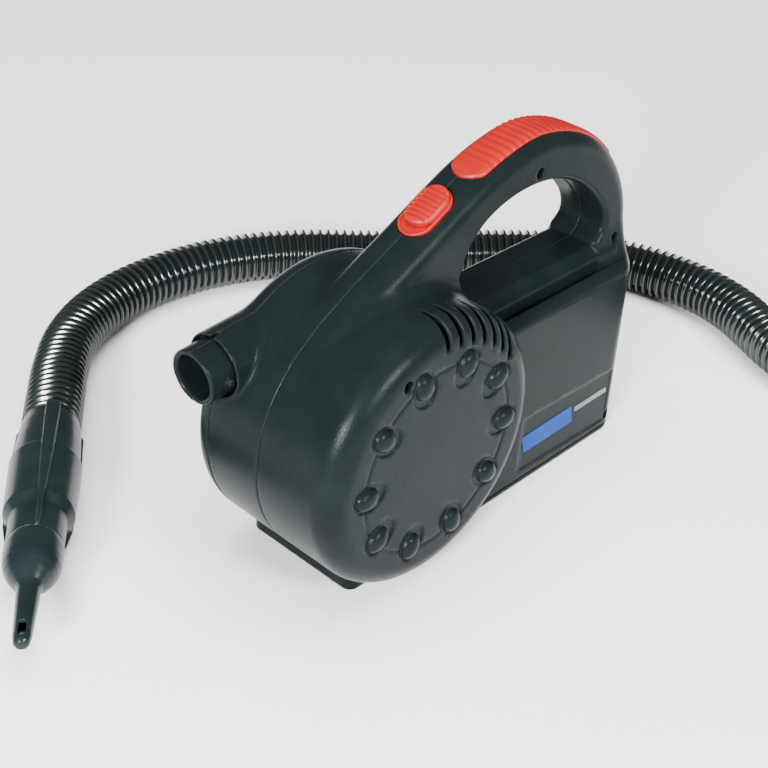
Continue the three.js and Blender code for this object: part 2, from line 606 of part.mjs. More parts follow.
function hose() {
  const beyond = hoseEnd.clone().add(v3(2, 0, 0)).toArray();
  const tube = sweep([onNozzle(11.5).toArray(), onNozzle(2).toArray(), ...HOSE_ROUTE], HOSE.r, 10, 44);
  const hollow = sweep(
    [onNozzle(10.2).toArray(), onNozzle(2).toArray(), ...HOSE_ROUTE, beyond], HOSE.r - HOSE.wall, 10, 44);
  const spigot = rod(HOSE.spigot, onNozzle(HOSE.spigotEnd), onNozzle(10.8), 20);
  const bore = rod(HOSE.spigotBore, onNozzle(HOSE.spigotEnd + 1), onNozzle(6), 20);
  return tube.subtract(hollow).add(spigot).subtract(bore);
}

function hoseCuff() {
  const along = hoseEnd.clone().sub(hoseBeforeEnd).setZ(0).normalize();
  const at = (s) => hoseEnd.clone().addScaledVector(along, s);
  const across = v3(-along.y, along.x, 0);
  const sleeve = rod(20, at(0.6), at(30), 24).add(rod(19, at(29), at(46), 24));
  const slots = sum([-1, 1].map((side) => rod(
    2.2, at(40).addScaledVector(across, side * 10), at(40).addScaledVector(across, side * 24), 12)
    .add(rod(2.2, at(50).addScaledVector(across, side * 10), at(50).addScaledVector(across, side * 24), 12))));
  return sleeve.subtract(rod(12, at(-2), at(50), 24)).subtract(rod(15.9, at(22), at(50), 24)).subtract(slots);
}

// ---------------------------------------------------------------- the scene graph
const pump = new THREE.Group();
pump.name = 'air_mattress_pump';

function place(name, solid, finish) {
  const material = new THREE.MeshStandardMaterial(PALETTE[finish]);
  const mesh = new THREE.Mesh(toGeometry(solid), material);
  mesh.name = name;
  pump.add(mesh);
}

place('near_shell', nearShell(), 'casing');
place('middle_shell', middleShell(), 'casing');
place('far_cover', farCover(), 'casing');
place('base_plate', basePlate(), 'casing');
place('grip_insert', gripInsert(), 'accent');
place('switch_bezel', switchBezel(), 'accent');
place('switch_slider', switchSlider(), 'accent');
place('slide_switch', switchBody(), 'battery');
place('motor_can', motorCan(), 'steel');
place('motor_end_cap', motorEndCap(), 'fan');
place('magnet_upper', magnet(1), 'magnet');
place('magnet_lower', magnet(-1), 'magnet');
place('armature', armature(), 'brass');
place('motor_shaft', motorShaft(), 'steel');
place('impeller', impeller(), 'fan');
place('motor_mount', motorMount(), 'fan');
place('battery_case', batteryCase(), 'battery');
place('battery_lid', batteryLid(), 'battery');
[0, 1, 2].forEach((k) => place(`battery_cell_${k + 1}`, batteryCell(k), 'lead'));
place('battery_pad', batteryPad(), 'foam');
place('terminal_positive', terminal(14), 'brass');
place('terminal_negative', terminal(-14), 'brass');
place('charge_socket', chargeSocket(), 'fan');
Object.entries(WIRES).forEach(([name, points]) => place(
  name, wire(points), name.endsWith('to_switch') ? 'wireRed' : 'wireBlack'));

[-15, 15].forEach((x, i) => place(`motor_screw_${i + 1}`, screw(
  v3(x, PARTITION.y1 + GAP + 1.4, AXIS_Z), 1.4, v3(x, 7, AXIS_Z), 2.6, 1.4), 'steel'));
screwsNear.forEach(([x, z], i) => place(`shell_screw_${i + 1}`, screw(
  v3(x, NEAR_HEAD, z), 2.5, v3(x, 8.5, z)), 'steel'));
screwsFar.forEach(([x, z], i) => place(`cover_screw_${i + 1}`, screw(
  v3(x, FAR_HEAD, z), 2.5, v3(x, 24, z)), 'steel'));
screwsBase.forEach(([x, y], i) => place(`base_screw_${i + 1}`, screw(
  v3(x, y, BASE_HEAD), 1.3, v3(x, y, 12)), 'steel'));

place('hose', hose(), 'hose');
place('stepped_nozzle', steppedNozzle(), 'nozzle');
place('tip_adapter', tipAdapter(), 'nozzle');
place('hose_cuff', hoseCuff(), 'nozzle');

export default pump;
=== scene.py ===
"""Electric air mattress pump with its hose and nozzles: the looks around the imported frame.

The moulded pieces are drawn as distance fields in millimetres and meshed on a grid, so that
their edges are rounded and their joins are filleted as a mould would leave them.
"""

import functools
import itertools
import json
import math

import bpy
import numpy as np
from mathutils import Matrix, Vector


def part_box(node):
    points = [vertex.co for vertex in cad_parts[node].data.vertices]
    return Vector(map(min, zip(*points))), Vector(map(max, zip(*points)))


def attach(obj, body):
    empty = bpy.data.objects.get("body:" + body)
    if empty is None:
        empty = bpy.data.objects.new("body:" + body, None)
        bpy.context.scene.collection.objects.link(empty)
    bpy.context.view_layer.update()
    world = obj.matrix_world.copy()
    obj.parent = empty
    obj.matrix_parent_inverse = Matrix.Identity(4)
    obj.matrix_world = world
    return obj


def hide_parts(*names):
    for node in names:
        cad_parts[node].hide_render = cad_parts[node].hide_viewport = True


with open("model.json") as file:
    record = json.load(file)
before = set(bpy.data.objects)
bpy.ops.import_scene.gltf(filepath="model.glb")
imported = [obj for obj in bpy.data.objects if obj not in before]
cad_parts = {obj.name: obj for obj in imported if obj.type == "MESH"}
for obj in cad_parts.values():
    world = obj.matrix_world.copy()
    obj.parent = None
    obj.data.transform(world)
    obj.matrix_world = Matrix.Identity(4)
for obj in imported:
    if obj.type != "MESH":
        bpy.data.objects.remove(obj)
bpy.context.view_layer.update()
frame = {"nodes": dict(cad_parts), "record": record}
NODES = frame["nodes"]
GRID = 0.8

# ------------------------------------------------------------------ dimensions, in mm
AXIS_Z = 82.0
DRUM_R = 78.0
DRUM_HALF = 51.4
DRUM_FILLET = 14.0
RING_R = 54.0
BOSSES = 10
VENTS = 7
SEAM_FAR = 37.1
SEAM_GAP = 0.15
WALL = 2.6
UNDERSIDE = 4.0
BOX_HALF = 31.4
BOX_TOP = 119.5
BOX_REAR = 201.0
BOX_LEAN = 0.03
BOX_CORNER = 16.0
BOX_FOOT = 15.0
DECK_HALF = 20.2
DECK_TOP = 126.0
PLATEAU_HALF = 18.2
PLATEAU_TOP = 131.8
PLATEAU_RISE, PLATEAU_RUN, PLATEAU_SLANT = 5.8, 5.2, 7.79
HANDLE_HALF = 17.0
HANDLE_EDGE = 11.0
HOLE_EDGE = 3.5
GRIP_HALF = 11.0
GRIP_FRONT = 68.0
GRIP_REAR = 178.0
GRIP_GAP = 0.3
GRIP_RIB = 5.0
OUTLET = (-87.4, 37.1, 124.4)
OUTLET_TURN = (math.cos(math.radians(4.4)), math.sin(math.radians(4.4)))
COLLAR_R = 17.9
TUBE_R = 15.0
TUBE_BORE = 11.9
PEG_ALONG = 11.0
CREST = [
    (-56, 136.5), (-38, 151.6), (-18, 163.8), (16, 181), (48, 197.4), (67, 206), (90, 213),
    (110, 215.2), (135, 210.6), (160, 199), (181, 181), (195, 159), (201, 136), (200.5, 112),
]
FINGER_HOLE = [
    (56, 132), (49.5, 141), (48.5, 156), (54, 170), (65, 180), (81, 186.3), (98, 188.6),
    (114, 187.8), (130, 183.8), (148, 174.5), (164, 160.5), (172.5, 149), (174, 139), (168, 132),
]
SWITCH = (33.8, 190.2)
SWITCH_TURN = (math.cos(math.radians(27.5)), math.sin(math.radians(27.5)))
SWITCH_TRAVEL = 5.2
SLIDER_RIB = 3.1
SCREWS_NEAR = [(105.5, 195.2), (185.3, 130.5), (-27.7, 137.2), (189, 10.5)]
SCREWS_FAR = [(68 * math.cos(math.radians(d)), AXIS_Z + 68 * math.sin(math.radians(d)))
              for d in (20, 100, 200, 290)]
SCREWS_BASE = [(-15, -22), (-15, 22), (92, -22), (92, 22)]
POST_R = 5.2
WELL_R = 3.15
LABEL_CENTRE = (143, 27.5)
LABEL_HALF = (43.5, 18.5)
LABEL_DEPTH = 0.7
NOZZLE_TIP = Vector((-195.1, 37.2, 20.5))
NOZZLE_BACK = Vector((-73.4, 180.1, 20.5))
NOZZLE_AXIS = (NOZZLE_TIP - NOZZLE_BACK).normalized()
HOSE_R = 17.5
HOSE_PITCH = 5.8
HOSE_WAVE = 1.8
HOSE_SPIGOT_R = 13.4
HOSE_ROUTE = [
    (-58.5, 197.6, 19.6), (-41.5, 217.3, 18.2), (-14.9, 242.2, 17.7), (17.5, 259.5, 17.7),
    (57, 267.5, 17.7), (107.6, 263.3, 17.7), (150.6, 247.5, 17.7), (181, 228, 17.7),
    (213, 199.5, 17.7), (250, 168, 17.7), (290, 136, 17.7), (325, 102, 17.7), (346, 67, 17.7),
    (354.5, 35, 17.7), (356, 5, 17.7), (350.5, -22, 17.7), (341, -44, 17.7), (331, -65, 17.7),
    (322.5, -92, 17.7), (319, -120, 17.7), (321.5, -149, 17.7), (330, -177, 17.7),
    (344, -202.5, 18), (363, -224.5, 18.8), (386, -242, 19.6), (412, -254.3, 20.1),
    (438, -260.8, 20.3), (452, -261.5, 20.3), (464, -261.5, 20.3),
]
CORNERS = list(itertools.product((0, 1), repeat=3))

# ------------------------------------------------------------------ camera, in radians, mm and m
CAMERA_AZIMUTH, CAMERA_ELEVATION, CAMERA_ROLL = -0.853, 0.589, 0.074
CAMERA_LENS = 68.47
CAMERA_PLACE = (-0.4698, -0.4211, 0.5232)


# ------------------------------------------------------------------ materials
def colour_ramp(nodes, low, high, at=(0.35, 0.65)):
    ramp = nodes.new("ShaderNodeValToRGB")
    ramp.color_ramp.elements[0].position = at[0]
    ramp.color_ramp.elements[0].color = (*low, 1)
    ramp.color_ramp.elements[1].position = at[1]
    ramp.color_ramp.elements[1].color = (*high, 1)
    return ramp


def noise(nodes, links, coords, scale, detail=3.0):
    texture = nodes.new("ShaderNodeTexNoise")
    texture.inputs["Scale"].default_value = scale
    texture.inputs["Detail"].default_value = detail
    links.new(coords.outputs["Object"], texture.inputs["Vector"])
    return texture


def mottled_colour(nodes, links, coords, base, spread, worn):
    """Slightly mottled base colour, lighter where edges are rubbed."""
    mottle = noise(nodes, links, coords, 55)
    shade = colour_ramp(nodes, [c * (1 - spread) for c in base], [min(1, c * (1 + spread)) for c in base])
    links.new(mottle.outputs["Fac"], shade.inputs["Fac"])
    geometry = nodes.new("ShaderNodeNewGeometry")
    edge = colour_ramp(nodes, (0, 0, 0), (worn, worn, worn), (0.52, 0.60))
    links.new(geometry.outputs["Pointiness"], edge.inputs["Fac"])
    rubbed = nodes.new("ShaderNodeMix")
    rubbed.data_type = "RGBA"
    rubbed.inputs["B"].default_value = (*[min(1, c * 1.9 + 0.02) for c in base], 1)
    links.new(edge.outputs["Color"], rubbed.inputs["Factor"])
    links.new(shade.outputs["Color"], rubbed.inputs["A"])
    return rubbed.outputs["Result"]


def uneven_gloss(nodes, links, coords, rough):
    """Roughness that varies a little from place to place."""
    patches = noise(nodes, links, coords, 22, 4)
    gloss = nodes.new("ShaderNodeMapRange")
    gloss.inputs["To Min"].default_value = rough - 0.05
    gloss.inputs["To Max"].default_value = rough + 0.07
    links.new(patches.outputs["Fac"], gloss.inputs["Value"])
    return gloss.outputs["Result"]


def fine_grain(nodes, links, coords, grain, bump):
    """Normal of a finely grained surface."""
    fine = noise(nodes, links, coords, grain, 2)
    relief = nodes.new("ShaderNodeBump")
    relief.inputs["Strength"].default_value = bump
    relief.inputs["Distance"].default_value = 0.0004
    links.new(fine.outputs["Fac"], relief.inputs["Height"])
    return relief.outputs["Normal"]


def moulded(name, base, rough, grain=2600, bump=0.06, spread=0.12, metal=0.0, coat=0.0, worn=0.25,
            specular=0.5):
    """A moulded or rolled surface: mottled colour, fine grain, uneven gloss, rubbed edges."""
    material = bpy.data.materials.new(name)
    material.use_nodes = True
    nodes, links = material.node_tree.nodes, material.node_tree.links
    shader = nodes["Principled BSDF"]
    shader.inputs["Metallic"].default_value = metal
    shader.inputs["Specular IOR Level"].default_value = specular
    shader.inputs["Coat Weight"].default_value = coat
    shader.inputs["Coat Roughness"].default_value = 0.12
    coords = nodes.new("ShaderNodeTexCoord")
    colour = mottled_colour(nodes, links, coords, base, spread, worn)
    links.new(colour, shader.inputs["Base Color"])
    links.new(uneven_gloss(nodes, links, coords, rough), shader.inputs["Roughness"])
    links.new(fine_grain(nodes, links, coords, grain, bump), shader.inputs["Normal"])
    return material


def paint(node, material):
    node.data.materials.clear()
    node.data.materials.append(material)


CASING = moulded("casing_plastic", (0.005, 0.008, 0.0085), 0.25, grain=1200, bump=0.32, spread=0.12,
                 specular=0.055)
ACCENT = moulded("accent_plastic", (0.27, 0.0025, 0.0015), 0.42, grain=1500, bump=0.12, spread=0.06,
                 worn=0.1)
NOZZLE = moulded("nozzle_plastic", (0.006, 0.011, 0.0115), 0.25, grain=1500, bump=0.10, specular=0.2)
VINYL = moulded("hose_vinyl", (0.005, 0.008, 0.008), 0.18, grain=900, bump=0.05, coat=0.4)
DARK = moulded("inner_plastic", (0.02, 0.022, 0.025), 0.5)
MATERIALS = {
    "casing": CASING,
    "accent": ACCENT,
    "nozzle_plastic": NOZZLE,
    "hose_vinyl": VINYL,
    "inner_plastic": DARK,
    "battery_plastic": moulded("battery_plastic", (0.04, 0.045, 0.055), 0.55),
    "steel": moulded("zinc_steel", (0.55, 0.55, 0.56), 0.32, metal=1.0, spread=0.08),
    "ferrite": moulded("ferrite", (0.03, 0.03, 0.03), 0.7, bump=0.2),
    "winding": moulded("enamelled_copper", (0.62, 0.28, 0.12), 0.35, metal=0.8),
    "lead": moulded("dull_lead", (0.22, 0.23, 0.25), 0.6, metal=0.9),
    "brass": moulded("plain_brass", (0.75, 0.55, 0.22), 0.3, metal=1.0),
    "foam": moulded("foam_pad", (0.02, 0.02, 0.02), 0.95, grain=1200, bump=0.6),
    "wire_red": moulded("red_insulation", (0.03, 0.003, 0.003), 0.6),
    "wire_black": moulded("black_insulation", (0.012, 0.012, 0.013), 0.4),
}
LABEL_BLUE = moulded("label_blue", (0.003, 0.04, 0.24), 0.45, bump=0.01, spread=0.05, worn=0, specular=0.1)
LABEL_GREY = moulded("label_grey", (0.16, 0.19, 0.19), 0.45, bump=0.01, spread=0.15, worn=0, specular=0.1)
BLACK_STEEL = moulded("blackened_steel", (0.004, 0.004, 0.004), 0.5, metal=0.2, worn=0, specular=0.05)
for entry in frame["record"]["subparts"]:
    paint(NODES[entry["node"]], MATERIALS[entry["material_slot"]])
for number in range(1, 5):
    paint(NODES[f"shell_screw_{number}"], BLACK_STEEL)


# ------------------------------------------------------------------ distance fields
def all_of(*fields):
    """Intersection of fields with sharp edges."""
    return functools.reduce(np.maximum, fields)


def cut(field, hole):
    """Field with a hole taken out of it, with sharp edges."""
    return np.maximum(field, -hole)


def between(value, low, high):
    """The space in which the value lies between low and high."""
    return np.maximum(low - value, value - high)


def round_and(a, b, r):
    """Intersection of two fields with its edge rounded to radius r."""
    return np.minimum(np.maximum(a, b), -r) + np.hypot(np.maximum(a + r, 0), np.maximum(b + r, 0))


def round_or(a, b, r):
    """Union of two fields with its inner corner filleted to radius r."""
    return np.maximum(np.minimum(a, b), r) - np.hypot(np.maximum(r - a, 0), np.maximum(r - b, 0))


def smooth_curve(points, per_span=8):
    """Centripetal Catmull-Rom curve through the points, as the frame's solids are swept."""
    p = np.array(points, float)
    p = np.vstack([2 * p[0] - p[1], p, 2 * p[-1] - p[-2]])
    out = []
    for i in range(1, len(p) - 2):
        a, b, c, d = p[i - 1:i + 3]
        t0 = 0.0
        t1 = t0 + max(np.linalg.norm(b - a), 1e-9) ** 0.5
        t2 = t1 + max(np.linalg.norm(c - b), 1e-9) ** 0.5
        t3 = t2 + max(np.linalg.norm(d - c), 1e-9) ** 0.5
        t = np.linspace(t1, t2, per_span, endpoint=False)[:, None]
        a1 = (t1 - t) / (t1 - t0) * a + (t - t0) / (t1 - t0) * b
        a2 = (t2 - t) / (t2 - t1) * b + (t - t1) / (t2 - t1) * c
        a3 = (t3 - t) / (t3 - t2) * c + (t - t2) / (t3 - t2) * d
        b1 = (t2 - t) / (t2 - t0) * a1 + (t - t0) / (t2 - t0) * a2
        b2 = (t3 - t) / (t3 - t1) * a2 + (t - t1) / (t3 - t1) * a3
        out.append((t2 - t) / (t2 - t1) * b1 + (t - t1) / (t2 - t1) * b2)
    return np.vstack([*out, p[-2:-1]])


def polygon(points, u, v):
    """Signed distance to a closed polygon, negative inside."""
    u, v = np.broadcast_arrays(u, v)
    best = np.full(u.shape, 1e9)
    inside = np.zeros(u.shape, bool)
    p = np.asarray(points, float)
    for (x0, y0), (x1, y1) in zip(p, np.roll(p, -1, axis=0)):
        dx, dy = x1 - x0, y1 - y0
        t = np.clip(((u - x0) * dx + (v - y0) * dy) / (dx * dx + dy * dy + 1e-12), 0, 1)
        best = np.minimum(best, np.hypot(u - x0 - t * dx, v - y0 - t * dy))
        crosses = (y0 > v) != (y1 > v)
        if y0 != y1:
            inside ^= crosses & (u < x0 + (v - y0) * dx / dy)
    return np.where(inside, -best, best)


def stadium(u, v, length, width):
    """Signed distance to a slot shape: a bar with half-round ends."""
    reach = (length - width) / 2
    return np.hypot(np.maximum(np.abs(u) - reach, 0), v) - width / 2


def ellipsoid(centred, radii):
    """Nearly the signed distance to an ellipsoid."""
    u, v, w = (c / r for c, r in zip(centred, radii))
    k0 = np.sqrt(u * u + v * v + w * w)
    k1 = np.sqrt((u / radii[0]) ** 2 + (v / radii[1]) ** 2 + (w / radii[2]) ** 2) + 1e-6
    return k0 * (k0 - 1) / k1


def quads_around(inside, index):
    """A quad through the four cells around each grid edge that the surface crosses."""
    n = index.shape
    quads = []
    for axis in range(3):
        b, c = (axis + 1) % 3, (axis + 2) % 3
        first = [slice(None)] * 3
        second = [slice(None)] * 3
        first[axis] = slice(0, -1)
        second[axis] = slice(1, None)
        at = np.argwhere(inside[tuple(first)] != inside[tuple(second)])
        at = at[(at[:, b] > 0) & (at[:, c] > 0) & (at[:, b] < n[b]) & (at[:, c] < n[c])]
        around = []
        for back_b, back_c in ((1, 1), (0, 1), (0, 0), (1, 0)):
            q = at.copy()
            q[:, b] -= back_b
            q[:, c] -= back_c
            around.append(index[tuple(q.T)])
        quad = np.stack(around, 1)
        outward = inside[tuple(at.T)]
        quads.append(np.where(outward[:, None], quad, quad[:, ::-1]))
    return np.vstack(quads)


class Field:
    """A distance field sampled on a regular grid."""

    def __init__(self, low, high, step):
        self.low, self.step = np.array(low, float), step
        axes = [np.arange(a, b + step, step) for a, b in zip(low, high)]
        self.x = axes[0][:, None, None]
        self.y = axes[1][None, :, None]
        self.z = axes[2][None, None, :]
        self.f = None

    def local(self, xs, ys, zs, change):
        """Applies change(field, x, y, z) to the block inside the given ranges only."""
        cuts = []
        for axis, (a, b) in zip((self.x.ravel(), self.y.ravel(), self.z.ravel()), (xs, ys, zs)):
            cuts.append(slice(int(np.searchsorted(axis, a)), int(np.searchsorted(axis, b))))
        i, j, k = cuts
        if i.start == i.stop or j.start == j.stop or k.start == k.stop:
            return
        self.f[i, j, k] = change(self.f[i, j, k], self.x[i], self.y[:, j], self.z[:, :, k])

    def sample(self, p):
        """Trilinear value of the field at each point."""
        g = (p - self.low) / self.step
        i = np.clip(np.floor(g).astype(int), 0, np.array(self.f.shape) - 2)
        w = g - i
        total = np.zeros(len(p))
        for dx, dy, dz in CORNERS:
            share = np.abs(1 - dx - w[:, 0]) * np.abs(1 - dy - w[:, 1]) * np.abs(1 - dz - w[:, 2])
            total += share * self.f[i[:, 0] + dx, i[:, 1] + dy, i[:, 2] + dz]
        return total

    def crossings(self, cell):
        """One point in each cell: the mean of where the surface crosses the cell's edges."""
        value = {c: self.f[cell[:, 0] + c[0], cell[:, 1] + c[1], cell[:, 2] + c[2]] for c in CORNERS}
        total = np.zeros((len(cell), 3))
        hits = np.zeros(len(cell))
        for a in CORNERS:
            for axis in range(3):
                if a[axis]:
                    continue
                b = tuple(1 if i == axis else a[i] for i in range(3))
                cross = (value[a] < 0) != (value[b] < 0)
                gap = value[a] - value[b]
                t = np.where(cross, value[a] / np.where(gap == 0, 1, gap), 0)
                point = np.tile(np.array(a, float), (len(cell), 1))
                point[:, axis] = t
                total += point * cross[:, None]
                hits += cross
        return self.low + (cell + total / hits[:, None]) * self.step

    def settled(self, points):
        """The points, moved onto the zero surface along the field's slope."""
        e = self.step * 0.5
        for _ in range(2):
            value = self.sample(points)
            slope = np.stack([self.sample(points + d) - self.sample(points - d) for d in np.eye(3) * e], 1)
            slope /= 2 * e
            move = -value[:, None] * slope / np.maximum((slope ** 2).sum(1), 0.2)[:, None]
            points = points + np.clip(move, -e, e)
        return points

    def surface(self):
        """Vertices (mm) and quads of the zero surface, by surface nets."""
        inside = self.f < 0
        n = [s - 1 for s in self.f.shape]
        count = np.zeros(n, np.int8)
        for a, b, c in CORNERS:
            count += inside[a:a + n[0], b:b + n[1], c:c + n[2]]
        cell = np.argwhere((count > 0) & (count < 8))
        index = np.full(n, -1, np.int64)
        index[tuple(cell.T)] = np.arange(len(cell))
        return self.settled(self.crossings(cell)), quads_around(inside, index)


# ------------------------------------------------------------------ turning fields into pieces
def mesh_piece(name, points, faces, material, body, replaced=()):
    """A smooth mesh object from points in mm and faces of equal size, riding on a body."""
    sides = faces.shape[1]
    mesh = bpy.data.meshes.new(name)
    mesh.vertices.add(len(points))
    mesh.vertices.foreach_set("co", (np.asarray(points) / 1000).astype(np.float32).ravel())
    mesh.loops.add(faces.size)
    mesh.loops.foreach_set("vertex_index", faces.astype(np.int32).ravel())
    mesh.polygons.add(len(faces))
    mesh.polygons.foreach_set("loop_start", np.arange(0, faces.size, sides, dtype=np.int32))
    mesh.update(calc_edges=True)
    mesh.validate()
    mesh.shade_smooth()
    mesh.materials.append(material)
    piece = bpy.data.objects.new(name, mesh)
    bpy.context.scene.collection.objects.link(piece)
    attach(piece, body)
    if replaced:
        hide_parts(*replaced)
    return piece


def thinned(piece, ratio):
    """Collapses needless faces of a finely meshed piece."""
    modifier = piece.modifiers.new("thin", "DECIMATE")
    modifier.ratio = ratio
    bpy.context.view_layer.update()
    graph = bpy.context.evaluated_depsgraph_get()
    mesh = bpy.data.meshes.new_from_object(piece.evaluated_get(graph))
    piece.modifiers.clear()
    piece.data = mesh
    mesh.shade_smooth()
    return piece


def placed(points, origin, x_axis, y_axis, z_axis):
    """Points of a piece's own axes, moved to where the piece is."""
    turn = np.array([x_axis, y_axis, z_axis], float)
    return np.asarray(points) @ turn + np.array(origin, float)


# ------------------------------------------------------------------ casing
CREST_LINE = smooth_curve(CREST, 6)
HOLE_LINE = smooth_curve(FINGER_HOLE, 6)
CREST_ARC = np.concatenate([[0], np.cumsum(np.hypot(*np.diff(CREST_LINE, axis=0).T))])


def crest_distance(x, z):
    """Signed distance to the handle's side outline, closed deep inside the drum and the box."""
    outline = [tuple(p) for p in CREST_LINE] + [(200.5, 60), (-50, 60), (-50, 104), (-56, 124)]
    return polygon(outline, x, z)


def outlet_axes(x, y, z):
    """Distance along the outlet from its mouth, and away from its axis."""
    c, s = OUTLET_TURN
    along = (x - OUTLET[0]) * c + (z - OUTLET[2]) * s
    up = -(x - OUTLET[0]) * s + (z - OUTLET[2]) * c
    return along, np.hypot(up, y - OUTLET[1])


def handle_body(x, y, z):
    """The carrying handle with its finger opening, flared where it meets the rear of the box."""
    opening = polygon([tuple(p) for p in HOLE_LINE] + [(168, 100), (56, 100)], x, z)
    flare = np.clip((142 - z) / 28, 0, 1) ** 2 * np.clip((x - 150) / 30, 0, 1) * 9
    cheek = np.abs(y) - HANDLE_HALF - flare
    handle = round_and(crest_distance(x, z), cheek, HANDLE_EDGE)
    return np.maximum(handle, round_and(-opening, cheek, HOLE_EDGE))


def box_body(x, y, z):
    """The battery box, with a trench along each side of its top."""
    rear = x - BOX_REAR + BOX_LEAN * z
    box = round_and(np.abs(y) - BOX_HALF, rear, BOX_CORNER)
    box = round_and(box, z - BOX_TOP, 8)
    box = all_of(box, round_and(rear, z - BOX_TOP, 14), round_and(rear, -z, BOX_FOOT), 8 - x)
    trench = all_of(np.abs(np.abs(y) - 22.4) - 2.3, 111 - z, between(x, 52, 190))
    return round_and(box, -trench, 1.0)


def top_body(x, y, z):
    """The deck on the battery box and the slope-sided plateau on the deck."""
    deck = round_and(np.abs(y) - DECK_HALF, z - DECK_TOP, 2.5)
    deck = np.maximum(deck, between(x, 20, 184))
    side = ((np.abs(y) - PLATEAU_HALF) * PLATEAU_RISE + (z - DECK_TOP) * PLATEAU_RUN) / PLATEAU_SLANT
    plateau = round_and(side, z - PLATEAU_TOP + 0.012 * (x - 60), 0.8)
    plateau = all_of(plateau, between(x, 30, 176), 125.3 - z)
    return np.minimum(deck, plateau)


def casing_body(x, y, z):
    """The outside of the closed casing, without its small features."""
    drum = round_and(np.hypot(x, z - AXIS_Z) - DRUM_R, np.abs(y) - DRUM_HALF, DRUM_FILLET)
    along, away = outlet_axes(x, y, z)
    neck = np.maximum(round_and(away - COLLAR_R, 15 - along, 0.9), along - 62)
    blend = 1.5 + 6 * np.clip((x + 44) / 60, 0, 1)
    whole = round_or(round_or(drum, neck, 2.2), handle_body(x, y, z), blend)
    whole = round_or(whole, round_or(box_body(x, y, z), top_body(x, y, z), 0.8), 2.0)
    return np.maximum(whole, UNDERSIDE - z)


def cylinder_y(x, z, at, radius):
    return np.hypot(x - at[0], z - at[1]) - radius


def outlet_detail(f, x, y, z):
    """Tube end inside a split bayonet collar, with a peg on each side of the tube."""
    along, away = outlet_axes(x, y, z)
    beside = np.abs(y - SEAM_FAR)
    collar = all_of(round_and(away - COLLAR_R, 14 - along, 0.7), along - 30, 15.6 - away)
    tube = np.maximum(round_and(away - TUBE_R, -along, 1.2), along - 40)
    gap = all_of(np.abs(away - 15.9) - 0.9, between(along, 10, 19))
    f = np.minimum(cut(np.minimum(f, collar), gap), tube)
    f = cut(f, all_of(beside - 1.1, 15.2 - away, along - 19, OUTLET[2] - z))
    mouth = away - TUBE_BORE - np.clip(1.2 - along, 0, 1.2)
    f = cut(f, np.maximum(mouth, along - 46))
    peg_x = OUTLET[0] + PEG_ALONG * OUTLET_TURN[0]
    peg_z = OUTLET[2] + PEG_ALONG * OUTLET_TURN[1]
    peg = round_and(np.hypot(x - peg_x, z - peg_z) - 1.9, between(beside, 12.5, 17.3), 0.6)
    return np.minimum(f, peg)


def drum_face_detail(f, x, y, z):
    """Ring groove and ten domes, each in a shallow oval dish, on the near face."""
    face = y + DRUM_HALF
    f = cut(f, np.hypot(np.hypot(x, z - AXIS_Z) - RING_R, face) - 0.75)
    for k in range(BOSSES):
        a = math.radians(360 / BOSSES * k)
        out = x * math.cos(a) + (z - AXIS_Z) * math.sin(a)
        across = -x * math.sin(a) + (z - AXIS_Z) * math.cos(a)
        oval = (np.hypot((out - 50.2) / 11.0, across / 8.4) - 1) * 8.4
        f = cut(f, round_and(oval, face - 1.0, 0.5))
        dome = ellipsoid((out - 52.3, across, face - 0.6), (7.6, 6.2, 4.2))
        f = np.minimum(f, np.maximum(dome, face - 4))
    return f


def vents(f, x, y, z):
    """Upright slots through the top of the near rim, closed where they reach the battery box."""
    box = np.maximum(np.abs(y) - BOX_HALF - 0.5, z - BOX_TOP - 1)
    half = 1.9 * np.clip((-30.0 - y) / 16, 0.02, 1) ** 0.6
    for k in range(VENTS):
        a = math.radians(8.8 * k)
        at = 63.6 * math.sin(a)
        low = AXIS_Z + 63.6 * math.cos(a)
        slot = all_of(np.abs(x - at) - half, low - z, y + 30.5)
        f = cut(f, np.maximum(slot, np.where(x > 40, -box, -99)))
    return f


def screw_wells(field, screws, outer, inner):
    """Posts inside the casing with a screw well, from the face at y = outer in to y = inner."""
    low, high = min(outer, inner), max(outer, inner)
    for at in screws:
        def drilled(f, x, y, z, at=at):
            depth = between(y, low, high)
            post = all_of(cylinder_y(x, z, at, POST_R), depth, casing_body(x, y, z) + 0.4)
            well = np.maximum(cylinder_y(x, z, at, WELL_R), depth)
            return cut(np.minimum(f, post), well)
        field.local((at[0] - 8, at[0] + 8), (low - 2, high + 2), (at[1] - 8, at[1] + 8), drilled)


def switch_axes(x, y, z):
    """Distances along the switch's slope, across it and up from it."""
    c, s = SWITCH_TURN
    dx, dz = x - SWITCH[0], z - SWITCH[1]
    return dx * c + dz * s, y, -dx * s + dz * c


def grip_plan(x, y, half):
    """The grip seen from above: straight sides and a rounded front end."""
    return np.where(x < GRIP_FRONT, np.hypot((x - GRIP_FRONT) * 1.12, y) - half, np.abs(y) - half)


def handle_pockets(f, x, y, z):
    """Seats of the soft grip and of the slide switch along the handle's crest."""
    plan = grip_plan(x, y, GRIP_HALF + GRIP_GAP)
    f = cut(f, all_of(plan, -2.6 - crest_distance(x, z), x - (GRIP_REAR + GRIP_GAP)))
    u, v, w = switch_axes(x, y, z)
    return cut(f, np.maximum(stadium(u, v, 34, 20.6), -12 - w))


def label_recess(f, x, y, z):
    """A shallow panel on the near side of the battery box, fading out towards the drum."""
    along = x - LABEL_CENTRE[0]
    up = z - LABEL_CENTRE[1] + 0.03 * along
    depth = LABEL_DEPTH * np.clip((x - 96) / 8, 0, 1)
    return cut(f, all_of(np.abs(along) - LABEL_HALF[0], np.abs(up) - LABEL_HALF[1], y + (BOX_HALF - depth)))


